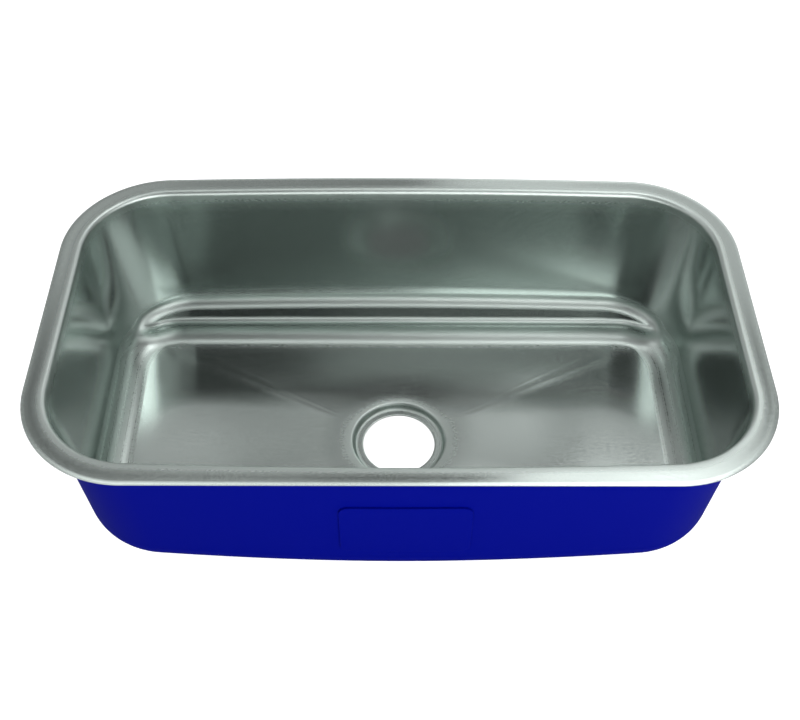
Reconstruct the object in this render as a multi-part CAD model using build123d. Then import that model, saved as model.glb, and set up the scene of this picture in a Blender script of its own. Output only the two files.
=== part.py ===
from build123d import *
import math
import os

# Undermount kitchen sink: a single bowl deep-drawn from one stainless sheet, with rubber sound pads
# bonded to its underside and a sprayed coating over them.
# Millimetres. X runs to the right, Y to the back and Z up. The origin is the middle of the flange's
# top face, the plane that meets the underside of the countertop.

# ---- Flange -------------------------------------------------------------------------------------
FLANGE_WIDTH = 790.6  # 31-1/8 in
FLANGE_DEPTH = 457.2  # 18 in, taken at the middle of the bowed back edge
FLANGE_CORNER = 120.0
STEEL = 1.5  # 16 gauge sheet
RIM_SIDE = 24.0  # outer edge to the bowl wall, measured in the flange's plane
RIM_FRONT = 24.0
RIM_BACK = 24.0
RIM_BEND = 6.4  # radius of the bend from flange to wall, on the top face

# ---- Bowl ---------------------------------------------------------------------------------------
BOWL_HEIGHT = 228.6  # 9 in, flange top to the underside of the drain seat
WALL_CURVE = 7650.0  # plan radius of the slightly bowed front and back walls
BELLY_CURVE = 3400.0  # plan radius of the front wall at floor level, where it bellies out
SIDE_DRAFT = 4.0  # degrees
BACK_DRAFT = 4.0
FRONT_DRAFT = 1.2
BOWL_CORNER = 95.6  # plan radius of the vertical corners
COVE = 38.0  # radius from the front and side walls into the floor
FLOOR_FALL = 10.1  # foot of the coves to the drain's lip, so that the floor empties

# ---- Ledge along the back wall ------------------------------------------------------------------
LEDGE_WIDTH = 35.3  # back wall to the step's face, at the ledge's level
LEDGE_HEIGHT = 26.5  # ledge above the foot of the coves
LEDGE_FALL = 2.0  # degrees, falling towards the bowl so that water runs off
LEDGE_FILLET = 14.0  # back wall into the ledge
LEDGE_CREST = 7.0  # ledge over into the step
STEP_FACE = 1.5  # straight part of the step between the crest and the cove at its foot
STEP_CURVE = 40000.0  # plan radius of the step, which is almost straight
STEP_CORNER = 75.0  # plan radius where the step turns into the side walls

# ---- Drain --------------------------------------------------------------------------------------
DRAIN_Y = -10.0
DRAIN_HOLE = 88.9  # 3-1/2 in, for a basket strainer
SEAT_WIDTH = 11.0  # flat ring round the hole, where the strainer's flange beds
SEAT_FILLET = 3.0
LIP_RADIUS = 4.0
RECESS = 8.0  # lip to the seat ring
RECESS_DRAFT = 4.0

# ---- Sound pads and coating ---------------------------------------------------------------------
PAD = 2.5
PAD_CORNER = 10.0
WALL_PAD_TOP = 75.0  # flange top to the wall pads
WALL_PAD_HEIGHT = 85.0
FRONT_PAD_MIDDLE = 6.0
FRONT_PAD_LENGTH = 140.0
BACK_PAD_LENGTH = 140.0
SIDE_PAD_MIDDLE = -10.0
SIDE_PAD_LENGTH = 150.0
FLOOR_PAD_DRAIN = 110.0  # drain's axis to the near edge of a floor pad
FLOOR_PAD_MARGIN = 38.0  # foot of the coves to a floor pad's other edges
COAT = 1.0
COAT_TOP = 10.0  # the coating stops this far under the flange's top face
COAT_MASK = 6.0  # bare steel left round the drain recess

# ---- Derived ------------------------------------------------------------------------------------
HALF_WIDTH = FLANGE_WIDTH / 2
HALF_DEPTH = FLANGE_DEPTH / 2
SIDE_WALL = HALF_WIDTH - RIM_SIDE
FRONT_WALL = HALF_DEPTH - RIM_FRONT
BACK_WALL = HALF_DEPTH - RIM_BACK
SEAT_DEPTH = BOWL_HEIGHT - STEEL
LIP_DEPTH = SEAT_DEPTH - RECESS
FLOOR_DEPTH = LIP_DEPTH - FLOOR_FALL
LEDGE_DEPTH = FLOOR_DEPTH - LEDGE_HEIGHT
STEP_COVE = LEDGE_HEIGHT - LEDGE_CREST - STEP_FACE
SEAT_RADIUS = DRAIN_HOLE / 2 + SEAT_WIDTH
LIP_CENTRE = SEAT_RADIUS + RECESS * math.tan(math.radians(RECESS_DRAFT)) + LIP_RADIUS
STRAIGHT = 1000 * FLANGE_WIDTH  # plan radius that stands for a straight edge
ABOVE = 4 * STEEL  # how far the cutting forms stand above the flange
PAD_REACH = 20.0  # how far a pad's trimming block runs to each side of the bowl's skin
ARC_STEP = 12.0  # degrees between the loft's sections round an arc


def polar(centre, radius, degrees):
    """A point at an angle round a centre, as (along, z)."""
    angle = math.radians(degrees)
    return centre[0] + radius * math.cos(angle), centre[1] + radius * math.sin(angle)


def blend(start, end, share):
    return start + (end - start) * share


def bowed_corner(half_width, edge, curve, corner):
    """Corner centre and tangent point of a bowed edge whose middle lies at (0, edge)."""
    side = math.copysign(1.0, edge)
    middle = edge - side * curve
    reach = math.sqrt((curve - corner) ** 2 - (half_width - corner) ** 2)
    centre = Vector(half_width - corner, middle + side * reach)
    bow = Vector(0, middle)
    return centre, bow + (centre - bow) * (curve / (curve - corner))


def outline(level, half_width, back, back_curve, back_corner, front, front_curve, front_corner):
    """Face at one level: straight sides, round corners, bowed back and front edges."""
    rear, rear_end = bowed_corner(half_width, back, back_curve, back_corner)
    fore, fore_end = bowed_corner(half_width, front, front_curve, front_corner)

    def arc(centre, radius, start, end):
        middle = centre + ((start - centre) + (end - centre)).normalized() * radius
        return ThreePointArc(start, middle, end)

    def mirrored(point):
        return Vector(-point.X, point.Y)

    rear_side = Vector(half_width, rear.Y)
    fore_side = Vector(half_width, fore.Y)
    edges = [
        Line(fore_side, rear_side),
        arc(rear, back_corner, rear_side, rear_end),
        ThreePointArc(rear_end, (0, back), mirrored(rear_end)),
        arc(mirrored(rear), back_corner, mirrored(rear_end), mirrored(rear_side)),
        Line(mirrored(rear_side), mirrored(fore_side)),
        arc(mirrored(fore), front_corner, mirrored(fore_side), mirrored(fore_end)),
        ThreePointArc(mirrored(fore_end), (0, front), fore_end),
        arc(fore, front_corner, fore_end, fore_side),
    ]
    return Pos(0, 0, level) * make_face(Wire(edges))


def drafted(opening, draft, depth):
    """Distance of a drafted wall from the middle, at a depth under the flange's top."""
    return opening - depth * math.tan(math.radians(draft))


def coved(opening, draft, z, grow):
    """Reach of a drafted wall that turns into the floor, and how far the cove has taken it in."""
    centre_z = COVE - FLOOR_DEPTH
    radius = COVE + grow
    slant = math.cos(math.radians(draft))
    wall = drafted(opening, draft, -z) + grow / slant
    if z >= centre_z - radius * math.sin(math.radians(draft)):
        return wall, 0.0
    centre = drafted(opening, draft, -centre_z) - COVE / slant
    reach = centre + math.sqrt(max(radius**2 - (z - centre_z) ** 2, 0.0))
    return reach, wall - reach


def step_wall(depth):
    """Distance of the step's face from the middle, at a depth under the flange's top."""
    return drafted(BACK_WALL, BACK_DRAFT, depth) - LEDGE_WIDTH


def back_profile(grow):
    """Points (y, z) down the back: wall, fillet, ledge, crest, step and cove, down to the floor."""
    slant = math.cos(math.radians(BACK_DRAFT))
    fall = math.radians(LEDGE_FALL)
    crest_y = step_wall(LEDGE_DEPTH) + LEDGE_CREST
    crest_z = -LEDGE_DEPTH - LEDGE_CREST / math.cos(fall)
    fillet_y = drafted(BACK_WALL, BACK_DRAFT, LEDGE_DEPTH - LEDGE_FILLET) - LEDGE_FILLET / slant
    rise = (fillet_y - crest_y) * math.tan(fall)
    fillet_z = -LEDGE_DEPTH + rise + LEDGE_FILLET / math.cos(fall)
    cove_z = STEP_COVE - FLOOR_DEPTH
    cove_y = step_wall(-cove_z) - STEP_COVE / slant

    def sweep(centre, radius, start, end):
        count = math.ceil(abs(end - start) / ARC_STEP)
        return [polar(centre, radius, blend(start, end, i / count)) for i in range(count + 1)]

    upright, level = -BACK_DRAFT, LEDGE_FALL - 90
    points = sweep((fillet_y, fillet_z), LEDGE_FILLET + grow, upright, level)
    points += sweep((crest_y, crest_z), grow - LEDGE_CREST, level, upright)
    points += sweep((cove_y, cove_z), STEP_COVE + grow, upright, -90)
    return points


def section(y, z, grow, share):
    """Outline of the bowl at one level. share runs from 0 on the back wall to 1 on the step."""
    half_width, side_inset = coved(SIDE_WALL, SIDE_DRAFT, z, grow)
    front, front_inset = coved(FRONT_WALL, FRONT_DRAFT, z, grow)
    back_inset = max(step_wall(-z) + grow - y, 0.0) if share >= 1 else 0.0
    corner = blend(BOWL_CORNER, STEP_CORNER, share) + grow - (side_inset + back_inset) / 2
    back_curve = 1 / blend(1 / WALL_CURVE, 1 / STEP_CURVE, share)
    front_curve = 1 / blend(1 / WALL_CURVE, 1 / BELLY_CURVE, min(-z / FLOOR_DEPTH, 1.0))
    return outline(z, half_width, y, back_curve, corner, -front, front_curve,
                   BOWL_CORNER + grow - front_inset)


def wall_form(grow):
    """The bowl's space above the ledge, between plain drafted walls."""
    top = drafted(BACK_WALL, BACK_DRAFT, -ABOVE) + grow
    foot = back_profile(grow)[0]
    return loft([section(top, ABOVE, grow, 0.0), section(*foot, grow, 0.0)], ruled=True)


def ledge_form(grow):
    """The bowl's space from the ledge's fillet down to the foot of the coves."""
    points = back_profile(grow)
    start = points[0][0]
    end = step_wall(LEDGE_DEPTH) + grow
    shares = [min((start - y) / (start - end), 1.0) for y, _ in points]
    return loft([section(y, z, grow, share) for (y, z), share in zip(points, shares)])


def floor_form(grow):
    """The pitched floor: from the foot of the coves down to the drain's lip."""
    foot = back_profile(grow)[-1]
    mouth = Pos(0, DRAIN_Y, -LIP_DEPTH - grow) * Circle(LIP_CENTRE)
    return loft([section(*foot, grow, 1.0), mouth], ruled=True)


def drain_form(grow):
    """The drain's recess, as a turned shape about the drain's axis."""
    lip = (LIP_CENTRE, -LIP_DEPTH - LIP_RADIUS)
    lip_radius = LIP_RADIUS - grow
    seat = (SEAT_RADIUS - SEAT_FILLET, -SEAT_DEPTH + SEAT_FILLET)
    seat_radius = SEAT_FILLET + grow
    wall_turn = 180 - RECESS_DRAFT
    lip_top = polar(lip, lip_radius, 90)
    lip_end = polar(lip, lip_radius, wall_turn)
    seat_start = polar(seat, seat_radius, -RECESS_DRAFT)
    seat_end = polar(seat, seat_radius, -90)
    profile = [
        Line((0, lip_top[1]), lip_top),
        ThreePointArc(lip_top, polar(lip, lip_radius, (90 + wall_turn) / 2), lip_end),
        Line(lip_end, seat_start),
        ThreePointArc(seat_start, polar(seat, seat_radius, -(90 + RECESS_DRAFT) / 2), seat_end),
        Line(seat_end, (0, seat_end[1])),
        Line((0, seat_end[1]), (0, lip_top[1])),
    ]
    turned = revolve(Plane.XZ * make_face(Wire(profile)), Axis.Z)
    return Pos(0, DRAIN_Y, 0) * turned


def basin_form(grow):
    """The bowl's space down to the drain's lip, grown evenly outwards."""
    return wall_form(grow) + ledge_form(grow) + floor_form(grow)


def flanged_form(grow, plate):
    """The bowl's whole space joined to a plate over the flange, with the rim's bend between them."""
    joined = basin_form(grow) + drain_form(grow) + plate
    mouth = [wire for face in joined.faces().filter_by(Plane.XY) for wire in face.inner_wires()]
    return fillet(mouth[0].edges(), RIM_BEND - grow)


def make_bowl():
    """The drawn sheet: the space between the inner form and the same form grown by the steel."""
    rim = outline(-STEEL, HALF_WIDTH, HALF_DEPTH, WALL_CURVE, FLANGE_CORNER,
                  -HALF_DEPTH, STRAIGHT, FLANGE_CORNER)
    over = Pos(0, 0, ABOVE / 2) * Box(2 * FLANGE_WIDTH, 2 * FLANGE_DEPTH, ABOVE)
    sheet = flanged_form(STEEL, extrude(rim, STEEL + ABOVE)) - flanged_form(0, over)
    return sheet - Pos(0, DRAIN_Y, -SEAT_DEPTH) * Cylinder(DRAIN_HOLE / 2, 4 * STEEL)


def pad_blocks(grow):
    """The round-cornered block that trims each pad out of a layer on the bowl, grown sideways."""

    def block(middle, plane, width, height):
        shape = RectangleRounded(width + 2 * grow, height + 2 * grow, PAD_CORNER + grow)
        return extrude(Pos(*middle) * (plane * shape), PAD_REACH, both=True)

    z = -WALL_PAD_TOP - WALL_PAD_HEIGHT / 2
    far = drafted(SIDE_WALL, SIDE_DRAFT, FLOOR_DEPTH) - COVE - FLOOR_PAD_MARGIN
    near_y = COVE + FLOOR_PAD_MARGIN - drafted(FRONT_WALL, FRONT_DRAFT, FLOOR_DEPTH)
    far_y = step_wall(FLOOR_DEPTH) - STEP_COVE - FLOOR_PAD_MARGIN
    floor_middle = ((FLOOR_PAD_DRAIN + far) / 2, (near_y + far_y) / 2, -FLOOR_DEPTH)
    front = block((FRONT_PAD_MIDDLE, -FRONT_WALL, z), Plane.XZ, FRONT_PAD_LENGTH, WALL_PAD_HEIGHT)
    back = block((0, BACK_WALL, z), Plane.XZ, BACK_PAD_LENGTH, WALL_PAD_HEIGHT)
    right = block((SIDE_WALL, SIDE_PAD_MIDDLE, z), Plane.YZ, SIDE_PAD_LENGTH, WALL_PAD_HEIGHT)
    floor_right = block(floor_middle, Plane.XY, far - FLOOR_PAD_DRAIN, far_y - near_y)
    return {
        "sound_pad_front": front,
        "sound_pad_back": back,
        "sound_pad_left": mirror(right, Plane.YZ),
        "sound_pad_right": right,
        "sound_pad_floor_left": mirror(floor_right, Plane.YZ),
        "sound_pad_floor_right": floor_right,
    }


def make_pads():
    """Rubber sheets bonded to the steel, each following the wall or floor that it lies on."""
    layer = basin_form(STEEL + PAD) - basin_form(STEEL)
    return {name: layer & block for name, block in pad_blocks(0).items()}


def make_undercoat(pads):
    """The sprayed layer: it follows the sheet, rises over each pad and leaves the drain bare."""
    coat = basin_form(STEEL + COAT)
    raised = basin_form(STEEL + PAD + COAT)
    for block in pad_blocks(COAT).values():
        coat += raised & block
    coat -= basin_form(STEEL)
    for pad in pads.values():
        coat -= pad
    above = Pos(0, 0, COAT_TOP) * Box(FLANGE_WIDTH, FLANGE_DEPTH, 4 * COAT_TOP)
    mask = Cylinder(LIP_CENTRE + COAT_MASK, 2 * BOWL_HEIGHT)
    return coat - above - Pos(0, DRAIN_Y, 0) * mask


def main():
    os.makedirs("parts", exist_ok=True)
    pads = make_pads()
    pieces = {"bowl": make_bowl(), "undercoat": make_undercoat(pads), **pads}
    for name, piece in pieces.items():
        export_step(piece, f"parts/{name}.step")


main()
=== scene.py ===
"""Looks of an undermount kitchen sink: brushed steel sheet, blue sprayed underside, studio light.

Lengths are metres and angles radians, unless a line says otherwise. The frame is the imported
model's own: X to the right, Y to the back, Z up, with the origin in the middle of the flange's top
face.
"""
import logging
import math
from dataclasses import dataclass
from enum import Enum

import bmesh
import bpy
from mathutils import Matrix, Quaternion, Vector
from mathutils.bvhtree import BVHTree

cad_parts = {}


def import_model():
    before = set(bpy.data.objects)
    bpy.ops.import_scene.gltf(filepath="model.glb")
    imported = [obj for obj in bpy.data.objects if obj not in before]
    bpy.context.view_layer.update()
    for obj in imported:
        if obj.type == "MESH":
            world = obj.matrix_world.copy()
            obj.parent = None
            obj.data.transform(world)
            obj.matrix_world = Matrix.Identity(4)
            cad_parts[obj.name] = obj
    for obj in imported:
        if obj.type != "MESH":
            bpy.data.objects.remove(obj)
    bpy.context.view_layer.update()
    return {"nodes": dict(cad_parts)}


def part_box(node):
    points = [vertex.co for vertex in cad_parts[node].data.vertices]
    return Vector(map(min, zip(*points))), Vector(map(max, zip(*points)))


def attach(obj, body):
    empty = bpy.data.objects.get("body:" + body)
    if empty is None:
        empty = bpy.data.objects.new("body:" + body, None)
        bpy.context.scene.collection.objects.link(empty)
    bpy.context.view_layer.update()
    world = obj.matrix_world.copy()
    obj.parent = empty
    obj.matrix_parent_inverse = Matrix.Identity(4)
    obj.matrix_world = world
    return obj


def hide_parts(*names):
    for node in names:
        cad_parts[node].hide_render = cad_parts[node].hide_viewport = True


LOG = logging.getLogger("sink")
BLANK_UV = "blank"  # UV layer: where each corner lay on the flat blank
BEND = "bend"  # vertex attribute: how tightly the sheet is bent, from 0 to 1
UP = Vector((0.0, 0.0, 1.0))
SQUARE = math.pi / 2
STRAIGHT = 1000.0  # plan radius of a straight edge, in widths of the sink
SHORTEST_RUN = 1e-9  # straight run of a profile where it has none
SHORTEST_LEG = 1e-12  # least length that a share along a path is divided by


class Slot(Enum):
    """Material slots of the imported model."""

    STEEL = "stainless_steel"
    COAT = "blue_coating"


class Face(Enum):
    """Faces of the bowl that carry a rubber pad, each with its direction into the sink."""

    FRONT = (0.0, 1.0, 0.0)
    BACK = (0.0, -1.0, 0.0)
    LEFT = (1.0, 0.0, 0.0)
    RIGHT = (-1.0, 0.0, 0.0)
    FLOOR = (0.0, 0.0, 1.0)


class Stretch(Enum):
    """Stretches of the bowl's outline, counter-clockwise from the right side's front end."""

    RIGHT = "right"
    BACK_RIGHT = "back_right"
    BACK = "back"
    BACK_LEFT = "back_left"
    LEFT = "left"
    FRONT_LEFT = "front_left"
    FRONT = "front"
    FRONT_RIGHT = "front_right"


# Stretches of the left half, each with the one of the right half that it mirrors.
MIRRORED = {Stretch.LEFT: Stretch.RIGHT, Stretch.BACK_LEFT: Stretch.BACK_RIGHT,
            Stretch.FRONT_LEFT: Stretch.FRONT_RIGHT}


def smoothstep(low: float, high: float, value: float) -> float:
    """Smooth share from 0 at low to 1 at high.

    Args:
        low: value that gives 0.
        high: value that gives 1.
        value: value to place between them.

    Returns:
        The share, from 0 to 1, level at both ends.
    """
    share = min(max((value - low) / (high - low), 0.0), 1.0)
    return share * share * (3.0 - 2.0 * share)


def mix(start: float, end: float, share: float) -> float:
    """Value at a share of the way from start to end."""
    return start + (end - start) * share


@dataclass(frozen=True)
class Station:
    """One place along the bowl's outline: its stretch, and the share of the way along it."""

    stretch: Stretch
    share: float


@dataclass(frozen=True)
class BowedEdge:
    """Back or front edge of an outline.

    Attributes:
        middle: Y of the edge at its middle.
        curve: plan radius of its bow.
        corner: plan radius of the corners at its ends.
    """

    middle: float
    curve: float
    corner: float


@dataclass(frozen=True)
class Outline:
    """A level outline with straight sides, bowed back and front edges, and rounded corners.

    Attributes:
        half_width: distance of the sides from the middle.
        back: the back edge.
        front: the front edge.
    """

    half_width: float
    back: BowedEdge
    front: BowedEdge

    def right_corner(self, edge: BowedEdge) -> tuple[Vector, float]:
        """Finds the corner at the right-hand end of an edge.

        Args:
            edge: the back or the front edge.

        Returns:
            The corner's centre, and the angle between the edge's end and a straight edge.
        """
        inner, bow = self.half_width - edge.corner, edge.curve - edge.corner
        side = math.copysign(1.0, edge.middle)
        reach = math.sqrt(bow ** 2 - inner ** 2)
        centre = Vector((inner, edge.middle - side * edge.curve + side * reach, 0.0))
        return centre, math.asin(inner / bow)

    def at(self, station: Station) -> tuple[Vector, Vector]:
        """Finds a station's place on the outline.

        Args:
            station: the place along the outline.

        Returns:
            The point and the outward unit vector, both level.
        """
        stretch, share = station.stretch, station.share
        if stretch in MIRRORED:
            point, facing = self.at(Station(MIRRORED[stretch], 1.0 - share))
            return Vector((-point.x, point.y, 0.0)), Vector((-facing.x, facing.y, 0.0))
        rear, rear_lean = self.right_corner(self.back)
        fore, fore_lean = self.right_corner(self.front)
        if stretch is Stretch.RIGHT:
            point = Vector((self.half_width, mix(fore.y, rear.y, share), 0.0))
            return point, Vector((1.0, 0.0, 0.0))
        if stretch is Stretch.BACK:
            angle = mix(rear_lean, -rear_lean, share)
            facing = Vector((math.sin(angle), math.cos(angle), 0.0))
            centre = Vector((0.0, self.back.middle - self.back.curve, 0.0))
            return centre + facing * self.back.curve, facing
        if stretch is Stretch.FRONT:
            angle = mix(-fore_lean, fore_lean, share)
            facing = Vector((math.sin(angle), -math.cos(angle), 0.0))
            centre = Vector((0.0, self.front.middle + self.front.curve, 0.0))
            return centre + facing * self.front.curve, facing
        if stretch is Stretch.BACK_RIGHT:
            angle = mix(0.0, SQUARE - rear_lean, share)
            centre, corner = rear, self.back.corner
        else:
            angle = mix(-SQUARE + fore_lean, 0.0, share)
            centre, corner = fore, self.front.corner
        facing = Vector((math.cos(angle), math.sin(angle), 0.0))
        return centre + facing * corner, facing


@dataclass
class Path:
    """A profile drawn from the wall down to the floor, as a chain of (inward, height) points."""

    points: list[tuple[float, float]]

    def arc(self, radius: float, start: float, end: float, steps: int) -> None:
        """Adds an arc that turns the heading.

        Args:
            radius: radius of the arc.
            start: heading at its start, from straight down towards inward.
            end: heading at its end.
            steps: number of chords.
        """
        inward, height = self.points[-1]
        side = 1.0 if end >= start else -1.0
        for step in range(1, steps + 1):
            heading = mix(start, end, step / steps)
            self.points.append((
                inward + side * radius * (math.cos(start) - math.cos(heading)),
                height - side * radius * (math.sin(heading) - math.sin(start)),
            ))

    def run(self, length: float, heading: float) -> None:
        """Adds a straight run of a length at a heading."""
        inward, height = self.points[-1]
        self.points.append((inward + length * math.sin(heading),
                            height - length * math.cos(heading)))

    def spaced(self, count: int) -> list[tuple[float, float]]:
        """Points at even spacing along the path.

        Args:
            count: how many points to give, both ends included.

        Returns:
            The (inward, height) points.
        """
        lengths = [0.0]
        for before, after in zip(self.points, self.points[1:]):
            lengths.append(lengths[-1] + math.dist(before, after))
        spaced = []
        leg = 0
        for index in range(count):
            target = lengths[-1] * index / (count - 1)
            while leg < len(lengths) - 2 and lengths[leg + 1] < target:
                leg += 1
            span = max(lengths[leg + 1] - lengths[leg], SHORTEST_LEG)
            share = (target - lengths[leg]) / span
            spaced.append(tuple(mix(a, b, share)
                                for a, b in zip(self.points[leg], self.points[leg + 1])))
        return spaced


@dataclass
class Basin:
    """The drawn form of the sink: every ring of points from the flange's edge to the drain hole.

    Sizes are those of the sheet's upper face. Bows and corners are plan radii.

    Attributes:
        width, depth, height: the sheet's overall size.
        steel: its thickness.
        rim: width of the flange, in to where the walls' plain form meets it.
        rim_bend: radius of the bend between flange and walls.
        flange_corner, corner: corners of the flange and of the bowl.
        wall_curve: bow of the back, and of the front wall at the flange.
        belly_curve: bow of the front wall at the floor.
        side_draft, back_draft, front_draft: lean of the walls from upright.
        cove: radius of the turn from wall to floor.
        floor_fall: fall of the floor from the coves to the drain's lip.
        ledge_width, ledge_height, ledge_fall: the ledge's width, height over the floor and slope.
        ledge_fillet, ledge_crest: radii of its turn from the wall and down to the step.
        ledge_ends: shares of a back corner between which the ledge grows from nothing to full.
        step_curve, step_corner, step_cove: bow, corners and cove of the step under the ledge.
        drain_y, drain_hole: place and radius of the drain hole.
        seat_width, seat_fillet: the flat ring round the hole, and the turn at its outside.
        lip_radius, recess, recess_draft: the drain's lip, and the depth and lean of its recess.
        profile_top: depth at which the plain wall ends and the profile down to the floor starts.
    """

    width: float
    depth: float
    height: float
    steel: float = 0.0015
    rim: float = 0.024
    rim_bend: float = 0.0064
    flange_corner: float = 0.120
    corner: float = 0.0956
    wall_curve: float = 7.650
    belly_curve: float = 3.400
    side_draft: float = math.radians(4.0)
    back_draft: float = math.radians(4.0)
    front_draft: float = math.radians(1.2)
    cove: float = 0.038
    floor_fall: float = 0.0101
    ledge_width: float = 0.0353
    ledge_height: float = 0.0265
    ledge_fall: float = math.radians(2.0)
    ledge_fillet: float = 0.014
    ledge_crest: float = 0.007
    ledge_ends: tuple[float, float] = (0.30, 0.56)
    step_curve: float = 40.0
    step_corner: float = 0.075
    step_cove: float = 0.018
    drain_y: float = -0.010
    drain_hole: float = 0.04445
    seat_width: float = 0.011
    seat_fillet: float = 0.003
    lip_radius: float = 0.004
    recess: float = 0.008
    recess_draft: float = math.radians(4.0)
    profile_top: float = 0.160

    # Points along each stretch of the outline.
    side_steps: int = 26
    corner_steps: int = 36
    long_steps: int = 64

    # Rings from the flange in to the drain hole, and the shares that place those of the seat.
    flange_steps: int = 4
    bend_steps: int = 10
    wall_steps: int = 12
    profile_steps: int = 84
    floor_steps: int = 14
    lip_steps: int = 8
    seat_fillet_steps: int = 6
    seat_shares: tuple[float, ...] = (0.35, 0.7, 1.0)

    # Chords of the profile's arcs, and halvings that find the ledge's width.
    cove_chords: int = 24
    fillet_chords: int = 24
    crest_chords: int = 18
    step_cove_chords: int = 20
    halvings: int = 40

    def __post_init__(self) -> None:
        """Works out the levels and radii that follow from the driving sizes."""
        self.seat_level = -(self.height - self.steel)
        self.lip_level = self.seat_level + self.recess
        self.floor_level = self.lip_level + self.floor_fall
        self.ledge_level = self.floor_level + self.ledge_height
        self.seat_radius = self.drain_hole + self.seat_width
        self.lip_centre = (self.seat_radius + self.recess * math.tan(self.recess_draft)
                           + self.lip_radius)
        self.drain = Vector((0.0, self.drain_y, 0.0))

    def stations(self) -> list[Station]:
        """Spreads the stations round the outline.

        Returns:
            The stations, counter-clockwise from the right side's front end.
        """
        counts = ((Stretch.RIGHT, self.side_steps), (Stretch.BACK_RIGHT, self.corner_steps),
                  (Stretch.BACK, self.long_steps), (Stretch.BACK_LEFT, self.corner_steps),
                  (Stretch.LEFT, self.side_steps), (Stretch.FRONT_LEFT, self.corner_steps),
                  (Stretch.FRONT, self.long_steps), (Stretch.FRONT_RIGHT, self.corner_steps))
        return [Station(stretch, step / steps)
                for stretch, steps in counts for step in range(steps)]

    def flange_edge(self, station: Station) -> Vector:
        """Finds the outer edge of the flange, which is bowed at the back and straight in front.

        Args:
            station: the place along the outline.

        Returns:
            The point on the edge's upper corner.
        """
        back = BowedEdge(self.depth / 2, self.wall_curve, self.flange_corner)
        front = BowedEdge(-self.depth / 2, STRAIGHT * self.width, self.flange_corner)
        return Outline(self.width / 2, back, front).at(station)[0]

    def wall(self, station: Station, down: float) -> tuple[Vector, Vector]:
        """Finds the plain drafted wall.

        Args:
            station: the place along the outline.
            down: depth under the flange's top face.

        Returns:
            The point and the wall's outward direction, which is level.
        """
        share = min(max(-down / self.floor_level, 0.0), 1.0)
        belly = 1.0 / mix(1.0 / self.wall_curve, 1.0 / self.belly_curve, share)
        half_depth = self.depth / 2 - self.rim
        back = half_depth - down * math.tan(self.back_draft)
        front = -(half_depth - down * math.tan(self.front_draft))
        outline = Outline(self.width / 2 - self.rim - down * math.tan(self.side_draft),
                          BowedEdge(back, self.wall_curve, self.corner),
                          BowedEdge(front, belly, self.corner))
        point, facing = outline.at(station)
        point.z = -down
        return point, facing

    def step_distance(self, point: Vector) -> float:
        """Measures how far a point lies outside the lower bowl, which the ledge steps down to.

        Args:
            point: a point at the ledge's level.

        Returns:
            The distance in plan, negative inside the lower bowl's outline.
        """
        level = -self.ledge_level
        half_width = self.width / 2 - self.rim - level * math.tan(self.side_draft)
        back = (self.depth / 2 - self.rim - level * math.tan(self.back_draft) - self.ledge_width
                - point.x ** 2 / (2.0 * self.step_curve))
        x = abs(point.x) - (half_width - self.step_corner)
        y = point.y - (back - self.step_corner)
        outside = math.hypot(max(x, 0.0), max(y, 0.0))
        return outside + min(max(x, y), 0.0) - self.step_corner

    def gap(self, point: Vector, facing: Vector) -> float:
        """Measures how far the lower bowl lies inside the upper wall.

        Args:
            point: point of the upper wall at the ledge's level.
            facing: the wall's outward direction there.

        Returns:
            The ledge's width there, and 0 where the two walls are one.
        """
        low, high = 0.0, 2.0 * self.ledge_width
        if point.y < 0.0 or self.step_distance(point) <= 0.0:
            return 0.0
        for _ in range(self.halvings):
            middle = (low + high) / 2
            if self.step_distance(point - facing * middle) > 0.0:
                low = middle
            else:
                high = middle
        return low

    def wall_lean(self, station: Station) -> float:
        """Measures the wall's lean.

        Args:
            station: the place along the outline.

        Returns:
            The angle from upright.
        """
        upper, facing = self.wall(station, 0.0)
        lower, _ = self.wall(station, -self.ledge_level)
        return math.atan2((upper - lower).xy @ facing.xy, -self.ledge_level)

    def turn_into_floor(self, path: Path, down: float, lean: float, floor_slope: float,
                        radius: float, chords: int) -> None:
        """Adds the rest of the wall and the cove to a path, down to the foot of the floor.

        Args:
            path: the path, which ends on the wall.
            down: depth at which it ends.
            lean: the wall's lean.
            floor_slope: the floor's slope at its foot.
            radius: radius of the cove.
            chords: number of the cove's chords.
        """
        end = SQUARE - floor_slope
        reach = radius * math.tan((end - lean) / 2)
        path.run(max((-self.floor_level - down) / math.cos(lean) - reach, SHORTEST_RUN), lean)
        path.arc(radius, lean, end, chords)

    def cove_path(self, lean: float, floor_slope: float) -> Path:
        """Draws the profile where there is no ledge: plain wall and cove.

        Args:
            lean: the wall's lean.
            floor_slope: the floor's slope at its foot.

        Returns:
            The path from the profile's top to the foot of the cove.
        """
        path = Path([(0.0, -self.profile_top)])
        self.turn_into_floor(path, self.profile_top, lean, floor_slope, self.cove,
                             self.cove_chords)
        return path

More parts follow.
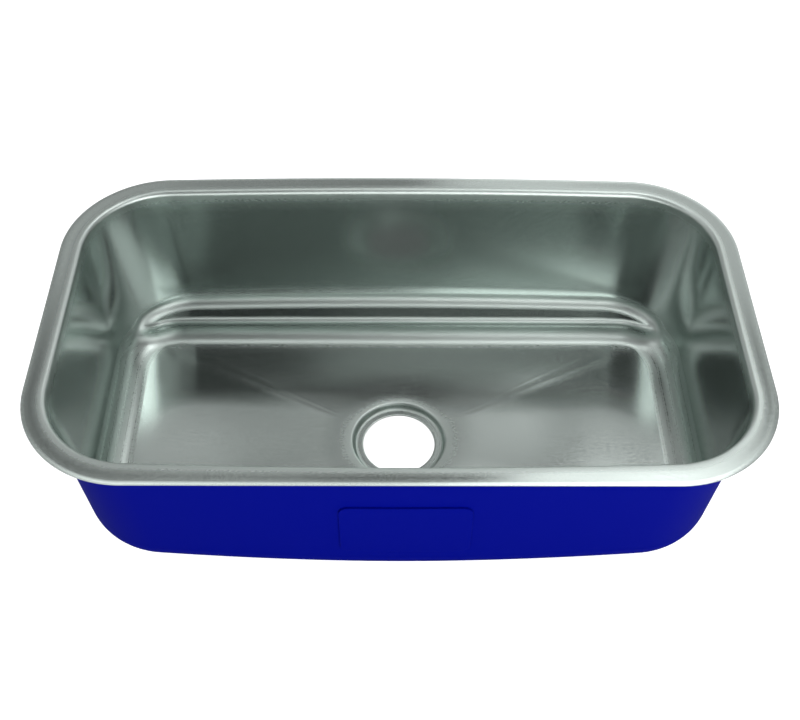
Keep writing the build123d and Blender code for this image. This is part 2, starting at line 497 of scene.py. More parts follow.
    def ledge_path(self, lean: float, gap: float, floor_slope: float) -> Path:
        """Draws the profile through the ledge: wall, fillet, ledge, crest, step and cove.

        Args:
            lean: the wall's lean, which the step shares.
            gap: how far the step stands inside the wall. Where it is small the ledge has no flat,
                and its fillet and crest meet at a steeper slope.
            floor_slope: the floor's slope at its foot.

        Returns:
            The path from the profile's top to the foot of the cove.
        """
        rounds = self.ledge_fillet + self.ledge_crest
        slope = SQUARE - self.ledge_fall
        flat = ((gap + rounds * ((math.sin(slope) - math.sin(lean)) * math.tan(lean)
                                 - math.cos(lean) + math.cos(slope)))
                / (math.sin(slope) - math.cos(slope) * math.tan(lean)))
        if flat < 0.0:
            flat = 0.0
            slope = lean + math.acos(1.0 - gap * math.cos(lean) / rounds)
        drop = rounds * (math.sin(slope) - math.sin(lean)) + flat * math.cos(slope)
        crest_end = (-self.ledge_level
                     + self.ledge_crest * math.tan((slope - lean) / 2) * math.cos(lean))
        fillet_start = crest_end - drop
        path = Path([(0.0, -self.profile_top)])
        path.run((fillet_start - self.profile_top) / math.cos(lean), lean)
        path.arc(self.ledge_fillet, lean, slope, self.fillet_chords)
        path.run(max(flat, SHORTEST_RUN), slope)
        path.arc(self.ledge_crest, slope, lean, self.crest_chords)
        self.turn_into_floor(path, crest_end, lean, floor_slope, self.step_cove,
                             self.step_cove_chords)
        return path

    def profile(self, station: Station) -> list[Vector]:
        """Draws the profile at one station.

        Args:
            station: the place along the outline.

        Returns:
            Points from the end of the plain wall down to the foot of the floor.
        """
        top, facing = self.wall(station, self.profile_top)
        lean = self.wall_lean(station)
        at_ledge, _ = self.wall(station, -self.ledge_level)
        distance = (at_ledge - self.drain).xy.length - self.lip_centre - self.cove
        floor_slope = math.atan(self.floor_fall / distance)
        points = self.cove_path(lean, floor_slope).spaced(self.profile_steps + 1)
        share = self.ledge_share(station)
        if share > 0.0:
            path = self.ledge_path(lean, self.gap(at_ledge, facing), floor_slope)
            stepped = path.spaced(self.profile_steps + 1)
            points = [(mix(a[0], b[0], share), mix(a[1], b[1], share))
                      for a, b in zip(points, stepped)]
        return [Vector((top.x, top.y, height)) - facing * inward for inward, height in points]

    def ledge_share(self, station: Station) -> float:
        """Tells how much of the stepped profile a station takes.

        Args:
            station: the place along the outline.

        Returns:
            A share: 1 along the back, down to 0 in the back corners, and 0 elsewhere.
        """
        if station.stretch is Stretch.BACK:
            return 1.0
        if station.stretch is Stretch.BACK_RIGHT:
            return smoothstep(*self.ledge_ends, station.share)
        if station.stretch is Stretch.BACK_LEFT:
            return smoothstep(*self.ledge_ends, 1.0 - station.share)
        return 0.0

    def rings(self) -> list[list[Vector]]:
        """Lays out every ring of the sheet's upper face.

        Returns:
            The rings from the flange's edge in to the drain hole, with a point for each station.
        """
        stations = self.stations()
        outer = [self.flange_edge(station) for station in stations]
        foot, facings = zip(*(self.wall(station, 0.0) for station in stations))
        turns = [SQUARE - self.wall_lean(station) for station in stations]
        starts = [point + facing * self.rim_bend * math.tan(turn / 2)
                  for point, facing, turn in zip(foot, facings, turns)]
        rings = [outer]
        for step in range(1, self.flange_steps + 1):
            rings.append([a.lerp(b, step / self.flange_steps) for a, b in zip(outer, starts)])
        for step in range(1, self.bend_steps + 1):
            ring = []
            for start, facing, turn in zip(starts, facings, turns):
                angle = turn * step / self.bend_steps
                ring.append(start - facing * self.rim_bend * math.sin(angle)
                            - UP * (self.rim_bend * (1.0 - math.cos(angle))))
            rings.append(ring)
        for step in range(1, self.wall_steps + 1):
            down = mix(self.rim_bend, self.profile_top, step / self.wall_steps)
            rings.append([self.wall(station, down)[0] for station in stations])
        profiles = [self.profile(station) for station in stations]
        for index in range(1, self.profile_steps + 1):
            rings.append([profile[index] for profile in profiles])
        rings.extend(self.floor_rings(rings[-1]))
        return rings

    def floor_rings(self, foot: list[Vector]) -> list[list[Vector]]:
        """Lays out the rings of the pitched floor, the drain's lip, its recess and the seat.

        Args:
            foot: the ring at the foot of the coves.

        Returns:
            The rings inside it, down to the drain hole.
        """
        facings = [(Vector((p.x, p.y, 0.0)) - self.drain).normalized() for p in foot]

        def turned(radius: float, height: float) -> list[Vector]:
            """A ring of the drain at a radius and a height."""
            return [self.drain + f * radius + UP * height for f in facings]

        lip = turned(self.lip_centre, self.lip_level)
        rings = []
        for step in range(1, self.floor_steps + 1):
            rings.append([a.lerp(b, step / self.floor_steps) for a, b in zip(foot, lip)])
        for step in range(1, self.lip_steps + 1):
            angle = (SQUARE - self.recess_draft) * step / self.lip_steps
            rings.append(turned(self.lip_centre - self.lip_radius * math.sin(angle),
                                self.lip_level - self.lip_radius * (1.0 - math.cos(angle))))
        fillet_centre = self.seat_radius - self.seat_fillet
        for step in range(self.seat_fillet_steps + 1):
            angle = mix(-self.recess_draft, -SQUARE, step / self.seat_fillet_steps)
            rings.append(turned(fillet_centre + self.seat_fillet * math.cos(angle),
                                self.seat_level + self.seat_fillet * (1.0 + math.sin(angle))))
        for share in self.seat_shares:
            rings.append(turned(mix(fillet_centre, self.drain_hole, share), self.seat_level))
        return rings


@dataclass
class DrawnSheet:
    """A sheet drawn ring by ring from a closed edge loop.

    Attributes:
        name: what the log calls it.
        rings: rings of points, each joined to the one before.
        blank: for each ring its place on the flat blank, or the ring itself where no finish
            asks for that place.
        shown: direction that its faces look to.
    """

    name: str
    rings: list[list[Vector]]
    blank: list[list[Vector]]
    shown: Vector

    def bmesh(self) -> bmesh.types.BMesh:
        """Extrudes the edge loop once for each ring and puts the new ring in place.

        Returns:
            The open sheet, with its faces towards the shown side and the flat blank's place of
            each corner in a UV layer.
        """
        mesh = bmesh.new()
        verts = [mesh.verts.new(point) for point in self.rings[0]]
        edges = [mesh.edges.new((a, b)) for a, b in zip(verts, verts[1:] + verts[:1])]
        places = {vert: index for index, vert in enumerate(verts)}
        flat = {vert: self.blank[0][index] for vert, index in places.items()}
        for ring, blank in zip(self.rings[1:], self.blank[1:]):
            made = bmesh.ops.extrude_edge_only(mesh, edges=edges)["geom"]
            moved = {}
            for vert in (item for item in made if isinstance(item, bmesh.types.BMVert)):
                old = next(edge.other_vert(vert) for edge in vert.link_edges
                           if edge.other_vert(vert) in places)
                index = places[old]
                vert.co, flat[vert], moved[vert] = ring[index], blank[index], index
            edges = [item for item in made if isinstance(item, bmesh.types.BMEdge)
                     and item.verts[0] in moved and item.verts[1] in moved]
            places = moved
        layer = mesh.loops.layers.uv.new(BLANK_UV)
        for face in mesh.faces:
            for loop in face.loops:
                loop[layer].uv = flat[loop.vert].xy
        mesh.normal_update()
        if sum((face.normal @ self.shown) * face.calc_area() for face in mesh.faces) < 0.0:
            bmesh.ops.reverse_faces(mesh, faces=mesh.faces[:])
            mesh.normal_update()
        LOG.info("%s drawn in %d rings", self.name, len(self.rings))
        return mesh


def blank_rings(rings: list[list[Vector]], centre: Vector,
                steep: float = 0.3) -> list[list[Vector]]:
    """Lays the rings flat again, as they lay on the blank before it was drawn.

    Args:
        rings: rings from the outside in.
        centre: the point that stays where it is.
        steep: share of its length that a step from ring to ring has to cover in plan; one that
            covers less is laid out straight away from the centre.

    Returns:
        For each ring its points on the flat blank, spread outwards by their distance along the
        sheet.
    """
    flat = [[Vector((p.x, p.y, 0.0)) for p in rings[-1]]]
    for inner, outer in zip(rings[::-1], rings[-2::-1]):
        spread = []
        for near, far, point in zip(inner, outer, flat[-1]):
            level = Vector((far.x - near.x, far.y - near.y, 0.0))
            away = point - centre
            facing = level if level.length > steep * (far - near).length else away
            if facing @ away < 0.0:
                facing = away
            spread.append(point + facing.normalized() * (far - near).length)
        flat.append(spread)
    return flat[::-1]


def thicken(mesh: bmesh.types.BMesh, thickness: float) -> None:
    """Gives an open sheet its thickness, away from the side its faces show.

    Args:
        mesh: the open sheet, made closed.
        thickness: how thick it becomes; a negative one grows on the shown side.
    """
    bmesh.ops.solidify(mesh, geom=mesh.faces[:], thickness=thickness)
    mesh.normal_update()


def mark_bends(mesh: bmesh.types.BMesh, gentle: float = 14.0, tight: float = 50.0,
               finest: float = 0.0004, level: float = 0.9999) -> None:
    """Stores how tightly the sheet is bent at and round each vertex, from 0 to 1.

    Args:
        mesh: the sheet.
        gentle: curvature that counts as flat, in 1/m.
        tight: curvature that counts as fully bent, in 1/m.
        finest: edges up to this length, such as those of a broken edge, don't count.
        level: Z of a normal, up or down, past which its vertex counts as flat.
    """
    layer = mesh.verts.layers.float.new(BEND)
    bent = {}
    for vert in mesh.verts:
        bends = [vert.normal.angle(edge.other_vert(vert).normal, 0.0) / edge.calc_length()
                 for edge in vert.link_edges if edge.calc_length() > finest]
        flat = abs(vert.normal.z) > level
        bent[vert] = 0.0 if flat else smoothstep(gentle, tight, max(bends, default=0.0))
    for vert, own in bent.items():
        around = sum(bent[edge.other_vert(vert)] for edge in vert.link_edges)
        vert[layer] = (own + around) / (1 + len(vert.link_edges))


def settle(name: str, mesh: bmesh.types.BMesh,
           sharp: float = math.radians(50.0)) -> bpy.types.Object:
    """Turns a bmesh into a smooth-shaded object at the origin.

    Args:
        name: name of the object.
        mesh: the bmesh, which is freed.
        sharp: angle above which an edge is left sharp.

    Returns:
        The new object.
    """
    data = bpy.data.meshes.new(name)
    mesh.to_mesh(data)
    mesh.free()
    data.shade_smooth()
    data.set_sharp_from_angle(angle=sharp)
    made = bpy.data.objects.new(name, data)
    bpy.context.scene.collection.objects.link(made)
    return made


class Finish:
    """Common steps of a procedural material."""

    def start(self, name: str) -> tuple[bpy.types.Material, bpy.types.NodeTree, bpy.types.Node]:
        """Makes a material with a Principled shader.

        Args:
            name: name of the material.

        Returns:
            The material, its node tree and the shader node.
        """
        material = bpy.data.materials.new(name)
        material.use_nodes = True
        tree = material.node_tree
        return material, tree, tree.nodes["Principled BSDF"]

    @staticmethod
    def object_noise(tree: bpy.types.NodeTree, grain: float) -> bpy.types.NodeSocket:
        """Adds noise that stands still on the object.

        Args:
            tree: the material's node tree.
            grain: size of the noise's grain.

        Returns:
            The socket that gives the noise.
        """
        place = tree.nodes.new("ShaderNodeTexCoord")
        noise = tree.nodes.new("ShaderNodeTexNoise")
        noise.inputs["Scale"].default_value = 1.0 / grain
        tree.links.new(place.outputs["Object"], noise.inputs["Vector"])
        return noise.outputs["Fac"]

    @staticmethod
    def math_node(tree: bpy.types.NodeTree, operation: str,
                  *terms: bpy.types.NodeSocket | float) -> bpy.types.Node:
        """Adds a Math node.

        Args:
            tree: the material's node tree.
            operation: what the node works out.
            terms: for each input a socket to link or a number.

        Returns:
            The node.
        """
        node = tree.nodes.new("ShaderNodeMath")
        node.operation = operation
        for socket, term in zip(node.inputs, terms):
            if isinstance(term, bpy.types.NodeSocket):
                tree.links.new(term, socket)
            else:
                socket.default_value = term
        return node


@dataclass(frozen=True)
class BrushedSteel(Finish):
    """Stainless sheet brushed along X while it was flat, so the grain follows the blank.

    Attributes:
        colour: the steel's own colour.
        roughness: roughness of the flat sheet.
        uneven: share by which grain and mottle take the roughness up or down.
        noises: sums of grain and mottle that give the least and the most roughness.
        anisotropy: how far the brushing draws highlights out.
        across_grain: turn that sets the highlights across the grain, in full turns.
        grain_length, grain_width: size of the brushed grain on the blank.
        mottle, mottle_stretch: width of the fine mottle, and how much longer it is along X.
        detail: detail of both noises.
        stretched: roughness that the tightest bends add.
    """

    colour: tuple[float, float, float] = (0.492, 0.548, 0.524)
    roughness: float = 0.16
    uneven: float = 0.22
    noises: tuple[float, float] = (0.6, 1.4)
    anisotropy: float = 0.45
    across_grain: float = 0.25
    grain_length: float = 0.030
    grain_width: float = 0.0006
    mottle: float = 0.0025
    mottle_stretch: float = 2.0
    detail: float = 3.0
    stretched: float = 0.24

    def material(self) -> bpy.types.Material:
        """Builds the shader: grain, mottle and bends in the roughness, highlights across X.

        Returns:
            The material.
        """
        material, tree, shader = self.start("brushed_steel")
        shader.inputs["Base Color"].default_value = (*self.colour, 1.0)
        shader.inputs["Metallic"].default_value = 1.0
        shader.inputs["Anisotropic"].default_value = self.anisotropy
        shader.inputs["Anisotropic Rotation"].default_value = self.across_grain
        blank = tree.nodes.new("ShaderNodeUVMap")
        blank.uv_map = BLANK_UV
        tangent = tree.nodes.new("ShaderNodeTangent")
        tangent.direction_type = "UV_MAP"
        tangent.uv_map = BLANK_UV
        tree.links.new(tangent.outputs["Tangent"], shader.inputs["Tangent"])
        grain = self.noise(tree, blank, self.grain_length, self.grain_width)
        mottle = self.noise(tree, blank, self.mottle_stretch * self.mottle, self.mottle)
        both = self.math_node(tree, "ADD", grain, mottle)
        rough = tree.nodes.new("ShaderNodeMapRange")
        rough.inputs["From Min"].default_value = self.noises[0]
        rough.inputs["From Max"].default_value = self.noises[1]
        rough.inputs["To Min"].default_value = self.roughness * (1.0 - self.uneven)
        rough.inputs["To Max"].default_value = self.roughness * (1.0 + self.uneven)
        tree.links.new(both.outputs[0], rough.inputs["Value"])
        bend = tree.nodes.new("ShaderNodeAttribute")
        bend.attribute_type = "GEOMETRY"
        bend.attribute_name = BEND
        worked = self.math_node(tree, "MULTIPLY_ADD", bend.outputs["Fac"], self.stretched,
                                rough.outputs["Result"])
        tree.links.new(worked.outputs[0], shader.inputs["Roughness"])
        return material

    def noise(self, tree: bpy.types.NodeTree, blank: bpy.types.Node, length: float,
              width: float) -> bpy.types.NodeSocket:
        """Adds noise that lies on the flat blank.

        Args:
            tree: the material's node tree.
            blank: node that gives the place on the blank.
            length: length of the noise's grain, along X.
            width: width of the noise's grain.

        Returns:
            The socket that gives the noise.
        """
        mapping = tree.nodes.new("ShaderNodeMapping")
        mapping.inputs["Scale"].default_value = (1.0 / length, 1.0 / width, 1.0)
        tree.links.new(blank.outputs["UV"], mapping.inputs["Vector"])
        noise = tree.nodes.new("ShaderNodeTexNoise")
        noise.noise_dimensions = "2D"
        noise.inputs["Scale"].default_value = 1.0
        noise.inputs["Detail"].default_value = self.detail
        tree.links.new(mapping.outputs["Vector"], noise.inputs["Vector"])
        return noise.outputs["Fac"]


@dataclass(frozen=True)
class SprayedCoat(Finish):
    """Blue sprayed coating with a fine orange-peel surface.

    Attributes:
        colour: the coating's own colour.
        roughness: its roughness.
        gloss: its specular level.
        peel, peel_height: size and height of the orange peel.
    """

    colour: tuple[float, float, float] = (0.0, 0.0022, 0.178)
    roughness: float = 0.62
    gloss: float = 0.02
    peel: float = 0.0022
    peel_height: float = 0.00004

    def material(self) -> bpy.types.Material:
        """Builds the shader: a matte colour with a pebbled bump.

        Returns:
            The material.
        """
        material, tree, shader = self.start("sprayed_coat")
        shader.inputs["Base Color"].default_value = (*self.colour, 1.0)
        shader.inputs["Roughness"].default_value = self.roughness
        shader.inputs["Specular IOR Level"].default_value = self.gloss
        bump = tree.nodes.new("ShaderNodeBump")
        bump.inputs["Distance"].default_value = self.peel_height
        tree.links.new(self.object_noise(tree, self.peel), bump.inputs["Height"])
        tree.links.new(bump.outputs["Normal"], shader.inputs["Normal"])
        return material


@dataclass(frozen=True)
class PadRubber(Finish):
    """Dull dark rubber with a faint mottle.

    Attributes:
        colour, worn: the two greys of the mottle.
        mottle: its size.
        roughness: roughness of the rubber.
    """

    colour: tuple[float, float, float] = (0.020, 0.020, 0.021)
    worn: tuple[float, float, float] = (0.045, 0.045, 0.046)
    mottle: float = 0.006
    roughness: float = 0.85

    def material(self) -> bpy.types.Material:
        """Builds the shader: two greys mixed by noise.

        Returns:
            The material.
        """
        material, tree, shader = self.start("pad_rubber")
        shader.inputs["Roughness"].default_value = self.roughness
        blend = tree.nodes.new("ShaderNodeMix")
        blend.data_type = "RGBA"
        blend.inputs["A"].default_value = (*self.colour, 1.0)
        blend.inputs["B"].default_value = (*self.worn, 1.0)
        tree.links.new(self.object_noise(tree, self.mottle), blend.inputs["Factor"])
        tree.links.new(blend.outputs["Result"], shader.inputs["Base Color"])
        return material


@dataclass(frozen=True)
class PaleFloor(Finish):
    """Floor that is white to the camera, with painted shade where the steel mirrors it near the
    sink.

    Attributes:
        white: brightness that the floor itself gives to the camera.
        mirrored: brightness that it gives to mirror rays where it lies open.
        shade: distance from the middle up to which mirror rays see it dim, with no glow and the
            full painted shade. It lies fully open from twice that distance, where less of the
            painted shade is left.
        paint: grey of the floor.
        painted_shadow_grey: darker grey that mirror rays see, painted in as the sink's shadow on
            the floor.
        roughness: its roughness.
    """

    white: float = 0.82
    mirrored: float = 0.5
    shade: float = 0.30
    paint: tuple[float, float, float] = (0.8, 0.8, 0.8)
    painted_shadow_grey: tuple[float, float, float] = (0.25, 0.25, 0.25)
    roughness: float = 0.9

    def material(self) -> bpy.types.Material:
        """Builds the shader from the kind of ray and the distance from the middle, with painted
        shade for mirror rays near the sink.

        Returns:
            The material.
        """
        material, tree, shader = self.start("floor")
        shader.inputs["Roughness"].default_value = self.roughness
        shader.inputs["Specular IOR Level"].default_value = 0.0
        path = tree.nodes.new("ShaderNodeLightPath")
        camera, glossy = path.outputs["Is Camera Ray"], path.outputs["Is Glossy Ray"]
        place = tree.nodes.new("ShaderNodeTexCoord")
        away = tree.nodes.new("ShaderNodeVectorMath")
        away.operation = "LENGTH"
        tree.links.new(place.outputs["Object"], away.inputs[0])
        ranged = tree.nodes.new("ShaderNodeMapRange")
        ranged.inputs["From Min"].default_value = self.shade
        ranged.inputs["From Max"].default_value = 2.0 * self.shade
        ranged.inputs["To Max"].default_value = self.mirrored
        tree.links.new(away.outputs["Value"], ranged.inputs["Value"])
        lying_open = ranged.outputs["Result"]
        glow = self.math_node(tree, "MAXIMUM",
                              self.math_node(tree, "MULTIPLY", camera, self.white).outputs[0],
                              self.math_node(tree, "MULTIPLY", glossy, lying_open).outputs[0])
        # Painted shade: mirror rays see a darker grey near the sink, standing in for the sink's
        # shadow on the floor.
        painted_shade_share = self.math_node(tree, "SUBTRACT", glossy, lying_open)
        painted_shade_share.use_clamp = True
        paint = tree.nodes.new("ShaderNodeMix")
        paint.data_type = "RGBA"
        paint.inputs["A"].default_value = (*self.paint, 1.0)
        paint.inputs["B"].default_value = (*self.painted_shadow_grey, 1.0)
        tree.links.new(painted_shade_share.outputs[0], paint.inputs["Factor"])
        tree.links.new(paint.outputs["Result"], shader.inputs["Base Color"])
        shader.inputs["Emission Color"].default_value = (1.0, 1.0, 1.0, 1.0)
        tree.links.new(glow.outputs[0], shader.inputs["Emission Strength"])
        return material


@dataclass
class Camera:
    """The photograph's viewpoint.

    Attributes:
        target: where the camera's axis meets the flange's plane.
        distance: how far the camera stands from there.
        elevation: how steeply it looks down.
        heading: turn of its view from straight back towards the right.
        roll: turn about its own axis.
        lens: focal length, in millimetres.
        nearest: nearest distance that it shows.
    """

    target: tuple[float, float, float] = (-0.0004, -0.0668, 0.0)
    distance: float = 1.25587
    elevation: float = 0.8648
    heading: float = 0.0110
    roll: float = 0.0108
    lens: float = 52.76
    nearest: float = 0.01

    def stand(self) -> None:
        """Makes the camera and sets it as the scene's."""
        flat = math.cos(self.elevation)
        forward = Vector((math.sin(self.heading) * flat, math.cos(self.heading) * flat,
                          -math.sin(self.elevation)))
        right = Vector((math.cos(self.heading), -math.sin(self.heading), 0.0))
        up = right.cross(forward)
        rolled = right * math.cos(self.roll) + up * math.sin(self.roll)
        upright = up * math.cos(self.roll) - right * math.sin(self.roll)
        camera = bpy.data.objects.new("camera", bpy.data.cameras.new("camera"))
        camera.data.lens = self.lens
        camera.data.clip_start = self.nearest
        axes = Matrix((rolled, upright, -forward)).transposed().to_4x4()
        axes.translation = Vector(self.target) - forward * self.distance
        camera.matrix_world = axes
        bpy.context.scene.collection.objects.link(camera)
        bpy.context.scene.camera = camera


@dataclass(frozen=True)
class SoftBox:
    """A rectangular soft box that faces the middle of the sink.

    Attributes:
        name: name of the lamp.
        azimuth: where it hangs, from the back (0) to the right (90), in degrees.
        elevation: how high it hangs, up from level, in degrees.
        width, height: size of its face.
        distance: how far it hangs from the middle of the flange.
        brightness: brightness of its face, where 1 is white.
        turn: turn about its own axis, in degrees.
    """

    name: str
    azimuth: float
    elevation: float
    width: float
    height: float
    distance: float
    brightness: float
    turn: float = 0.0

    def hang(self) -> None:
        """Makes the lamp, with the power that gives its face the brightness."""
        lamp = bpy.data.lights.new(self.name, "AREA")
        lamp.shape = "RECTANGLE"
        lamp.size, lamp.size_y = self.width, self.height
        lamp.energy = self.brightness * math.pi * self.width * self.height
        azimuth, elevation = math.radians(self.azimuth), math.radians(self.elevation)
        aside = Vector((math.sin(azimuth) * math.cos(elevation),
                        math.cos(azimuth) * math.cos(elevation), math.sin(elevation)))
        right = Vector((math.cos(azimuth), -math.sin(azimuth), 0.0))
        right.rotate(Quaternion(aside, math.radians(self.turn)))
        placed = bpy.data.objects.new(self.name, lamp)
        axes = Matrix((right, aside.cross(right), aside)).transposed().to_4x4()
        axes.translation = aside * self.distance
        placed.matrix_world = axes
        bpy.context.scene.collection.objects.link(placed)


# Name, azimuth, elevation, width, height, distance, brightness, turn.
SOFT_BOXES = (
    SoftBox("key", 38, 62, 0.80, 0.77, 2.15, 1.45),
    SoftBox("low_back", 31, 23, 1.13, 0.79, 1.32, 0.50),
    SoftBox("low_front", 141, 16, 2.44, 1.08, 1.3, 1.15),
    SoftBox("backdrop_left", -31, 24, 5.00, 1.76, 2.6, 0.25),
    SoftBox("overhead_back", -2, 71, 5.00, 0.36, 1.81, 0.95),
    SoftBox("overhead_right", 92, 69, 4.96, 0.57, 3.6, 0.63),
    SoftBox("left", -84, 20, 3.23, 0.84, 1.94, 0.42),
    SoftBox("horizon_back", 15, 19, 3.74, 1.18, 3.2, 0.72),
    SoftBox("overhead_front", 168, 71, 0.90, 0.74, 3.13, 0.45),
    SoftBox("upper_back", -8, 51, 1.50, 0.30, 3.26, 0.70),
    SoftBox("back_strip", -8, 41, 2.20, 0.25, 3.3, 0.30),
    SoftBox("back_panel", 15, 44, 0.65, 0.35, 2.6, 0.70),
    SoftBox("front_right", 158, 33, 0.70, 0.80, 1.3, 1.50),
    SoftBox("left_strip", -44, 30, 0.96, 3.00, 1.52, 0.13),
    SoftBox("left_high", -105, 42, 1.30, 0.80, 2.2, 1.30),
    SoftBox("back_right", 42, 36, 1.59, 1.31, 1.5, 0.14),
    SoftBox("top_left", -69, 73, 1.15, 0.62, 2.24, 1.80, -69),
    SoftBox("top_right", 68, 73, 1.25, 0.62, 2.24, 3.10, 68),
    SoftBox("front_fill", 180, 10, 3.00, 1.00, 1.5, 2.20),
)


@dataclass
class Studio:
    """Pale floor, soft boxes and world.

    Attributes:
        floor_level: height of the sink's lowest point.
        floor_size: length of the floor's sides.
        clear: gap between the sink and the floor.
        world_light: how brightly the world lights the sink, where 1 is white.
    """

    floor_level: float
    floor_size: float = 12.0
    clear: float = 0.0003
    world_light: float = 0.05

    def floor(self) -> None:
        """Lays the floor just under the sink."""
        mesh = bmesh.new()
        bmesh.ops.create_grid(mesh, x_segments=1, y_segments=1, size=self.floor_size / 2)
        bmesh.ops.translate(mesh, verts=mesh.verts, vec=(0.0, 0.0, self.floor_level - self.clear))
        floor = settle("floor", mesh)
        floor.data.materials.append(PaleFloor().material())

    def world(self) -> None:
        """Sets an even dim world that is white to the camera."""
        world = bpy.data.worlds.new("world")
        world.use_nodes = True
        tree = world.node_tree
        background = tree.nodes["Background"]
        background.inputs["Color"].default_value = (1.0, 1.0, 1.0, 1.0)
        path = tree.nodes.new("ShaderNodeLightPath")
        level = tree.nodes.new("ShaderNodeMapRange")
        level.inputs["To Min"].default_value = self.world_light
        tree.links.new(path.outputs["Is Camera Ray"], level.inputs["Value"])
        tree.links.new(level.outputs["Result"], background.inputs["Strength"])
        bpy.context.scene.world = world

    def lamps(self) -> None:
        """Hangs every soft box."""
        for box in SOFT_BOXES:
            box.hang()


@dataclass(frozen=True)
class PadCover:
    """The coating where it rises over one rubber pad, on one face of the bowl.

    Attributes:
        node: the pad's node.
        face: the face of the bowl that carries it.
        corner: radius of the cover's corners.
        coat: how far the cover reaches past the pad all round.
        sunk: how far its edge goes down into the coating.
        edge_round: radius of its outer edge.
        corner_steps, side_steps: chords of a corner, and legs of a side between two corners.
        edge_steps, inner_steps: rings over the rounded edge, and from there to the middle.
        weld: distance within which the points at the middle become one.
    """

    node: str
    face: Face
    corner: float = 0.011
    coat: float = 0.001
    sunk: float = 0.0005
    edge_round: float = 0.0008
    corner_steps: int = 8
    side_steps: int = 12
    edge_steps: int = 4
    inner_steps: int = 14
    weld: float = 1e-6

    @property
    def inward(self) -> Vector:
        """Direction from outside the sink to the pad."""
        return Vector(self.face.value)

    def axes(self) -> tuple[Vector, Vector]:
        """Finds the two directions along the pad.

        Returns:
            Across and up as seen from outside, or X and Y for the floor.
        """
        if self.face is Face.FLOOR:
            return Vector((1.0, 0.0, 0.0)), Vector((0.0, 1.0, 0.0))
        return Vector((self.inward.y, -self.inward.x, 0.0)), Vector((0.0, 0.0, 1.0))

    def outline(self, inset: float) -> list[tuple[float, float]]:
        """Draws a round-cornered rectangle round the pad's box.

        Args:
            inset: distance inside the cover's outer edge.

        Returns:
            The outline's points, as (across, up).
        """
        low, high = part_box(self.node)
        across, up = self.axes()
        middle = (low + high) / 2
        radius = self.corner - inset
        centre_u = abs((high - low) @ across) / 2 + self.coat - inset - radius
        centre_v = abs((high - low) @ up) / 2 + self.coat - inset - radius
        corners = ((1, 1), (-1, 1), (-1, -1), (1, -1))

        def on_corner(number: int, share: float) -> tuple[float, float]:
            """Finds a point on the arc of a corner.

            Args:
                number: which corner, counted on past the last to the first again.
                share: share of the corner's quarter turn.

            Returns:
                The point as (across, up) from the box's middle.
            """
            side_u, side_v = corners[number % len(corners)]
            angle = math.radians(90.0 * (number + share))
            return (side_u * centre_u + radius * math.cos(angle),
                    side_v * centre_v + radius * math.sin(angle))

        points = []
        for number in range(len(corners)):
            for step in range(self.corner_steps + 1):
                points.append(on_corner(number, step / self.corner_steps))
            end_u, end_v = points[-1]
            next_u, next_v = on_corner(number + 1, 0.0)
            for step in range(1, self.side_steps):
                share = step / self.side_steps
                points.append((mix(end_u, next_u, share), mix(end_v, next_v, share)))
        return [(middle @ across + u, middle @ up + v) for u, v in points]

    def bmesh(self, skin: BVHTree, rise: float) -> bmesh.types.BMesh:
        """Lays the cover on the skin's outside.

        Args:
            skin: the coating's outer face.
            rise: how far the cover stands out from it.

        Returns:
            A shell whose edge is sunk into the coating.
        """
        across, up = self.axes()
        levels = [(0.0, -self.sunk), (0.0, rise - self.edge_round)]
        for step in range(1, self.edge_steps + 1):
            angle = SQUARE * step / self.edge_steps
            levels.append((self.edge_round * (1.0 - math.cos(angle)),
                           rise - self.edge_round * (1.0 - math.sin(angle))))
        rims = [(self.outline(inset), height) for inset, height in levels]
        last = rims[-1][0]
        centre_u = sum(u for u, _ in last) / len(last)
        centre_v = sum(v for _, v in last) / len(last)
        for step in range(1, self.inner_steps + 1):
            share = step / self.inner_steps
            rims.append(([(mix(u, centre_u, share), mix(v, centre_v, share)) for u, v in last],
                         rise))
        rings = []
        for points, height in rims:
            ring = []
            for u, v in points:
                start = across * u + up * v - self.inward
                hit, normal, _, _ = skin.ray_cast(start, self.inward)
                ring.append(hit - (normal if normal @ self.inward > 0.0 else -normal) * height)
            rings.append(ring)
        mesh = DrawnSheet(f"cover of {self.node}", rings, rings, -self.inward).bmesh()
        bmesh.ops.remove_doubles(mesh, verts=mesh.verts, dist=self.weld)
        return mesh


PAD_COVERS = (
    PadCover("sound_pad_front", Face.FRONT),
    PadCover("sound_pad_back", Face.BACK),
    PadCover("sound_pad_left", Face.LEFT),
    PadCover("sound_pad_right", Face.RIGHT),
    PadCover("sound_pad_floor_left", Face.FLOOR),
    PadCover("sound_pad_floor_right", Face.FLOOR),
)


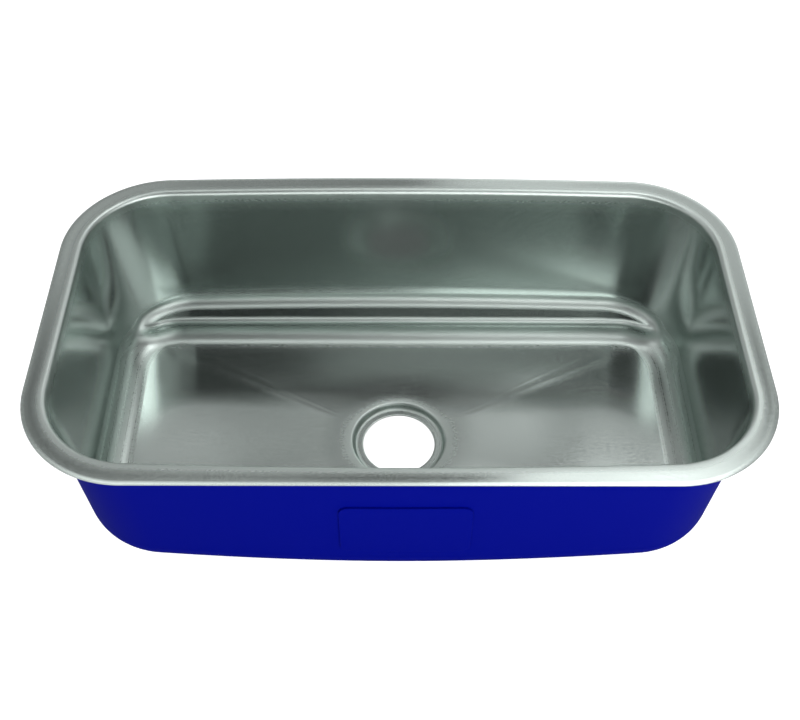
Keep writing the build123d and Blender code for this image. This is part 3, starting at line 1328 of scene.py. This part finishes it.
@dataclass
class Sink:
    """The sink's two drawn pieces: the steel sheet and the coating under it.

    Attributes:
        basin: the form that both follow.
        coat: the coating's thickness.
        coat_top: depth under the flange at which the coating starts.
        coat_mask: width of the bare ring between the coating and the drain's lip.
        pad: thickness of a rubber pad, by which the coating rises over it.
        edge: size of the break on the sheet's cut edges.
        cut: angle between two faces above which their edge is a cut one.
    """

    basin: Basin
    coat: float = 0.001
    coat_top: float = 0.010
    coat_mask: float = 0.006
    pad: float = 0.0025
    edge: float = 0.0003
    cut: float = math.radians(60.0)

    def sheet(self) -> bpy.types.Object:
        """Makes the drawn steel sheet, with its cut edges just broken.

        Returns:
            The finished sheet.
        """
        rings = self.basin.rings()
        mesh = DrawnSheet("sheet", rings, blank_rings(rings, self.basin.drain), UP).bmesh()
        thicken(mesh, self.basin.steel)
        cut = [edge for edge in mesh.edges if edge.calc_face_angle(0.0) > self.cut]
        bmesh.ops.bevel(mesh, geom=cut, offset=self.edge, offset_type="OFFSET", affect="EDGES",
                        segments=2, profile=0.5, material=-1, clamp_overlap=True)
        mark_bends(mesh)
        sheet = settle("bowl_sheet", mesh)
        sheet.data.materials.append(BrushedSteel().material())
        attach(sheet, "root")
        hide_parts("bowl")
        return sheet

    def coated_rings(self) -> list[list[Vector]]:
        """Picks the rings of the sheet's upper face that lie over the coating.

        Returns:
            The rings from the coating's top edge down to the bare ring's.
        """
        drain = self.basin.drain.xy
        bare = self.basin.lip_centre + self.coat_mask
        rings = self.basin.rings()
        inside = [min((point.xy - drain).length for point in ring) < bare for ring in rings]
        kept = [ring for ring, bared in zip(rings, inside)
                if max(point.z for point in ring) < -self.coat_top and not bared]
        following = rings[inside.index(True)]
        edge = []
        for outer, inner in zip(kept[-1], following):
            far, near = (outer.xy - drain).length, (inner.xy - drain).length
            edge.append(outer.lerp(inner, (far - bare) / (far - near)))
        top = [self.basin.wall(station, self.coat_top)[0] for station in self.basin.stations()]
        return [top, *kept, edge]

    def undercoat(self) -> bpy.types.Object:
        """Makes the sprayed coating on the sheet's underside, raised over each pad.

        Returns:
            The finished coating.
        """
        rings = self.coated_rings()
        mesh = DrawnSheet("undercoat", rings, rings, UP).bmesh()
        for vert in mesh.verts:
            vert.co = vert.co - vert.normal * (self.basin.steel + self.coat)
        skin = BVHTree.FromBMesh(mesh)
        thicken(mesh, -self.coat)
        for cover in PAD_COVERS:
            shell = cover.bmesh(skin, self.pad)
            carrier = bpy.data.meshes.new(cover.node)
            shell.to_mesh(carrier)
            shell.free()
            mesh.from_mesh(carrier)
            bpy.data.meshes.remove(carrier)
        coat = settle("undercoat_skin", mesh)
        coat.data.materials.append(SprayedCoat().material())
        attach(coat, "root")
        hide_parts("undercoat")
        return coat


def dress_nodes(frame: dict) -> None:
    """Gives the rubber pads, which stay as CAD nodes, their finish.

    Args:
        frame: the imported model, as loaded.
    """
    rubber = PadRubber().material()
    for name, node in frame["nodes"].items():
        if name.startswith("sound_pad"):
            node.data.materials.clear()
            node.data.materials.append(rubber)


def main() -> None:
    """Builds the pieces in order, then the studio."""
    logging.basicConfig(level=logging.INFO)
    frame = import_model()
    bpy.context.scene.view_settings.view_transform = "Standard"
    low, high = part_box("bowl")
    sink = Sink(Basin(high.x - low.x, high.y - low.y, high.z - low.z))
    for make in (sink.sheet, sink.undercoat):
        LOG.info("made %s", make().name)
    dress_nodes(frame)
    studio = Studio(low.z)
    studio.floor()
    studio.world()
    studio.lamps()
    Camera().stand()


if __name__ == "__main__":
    main()
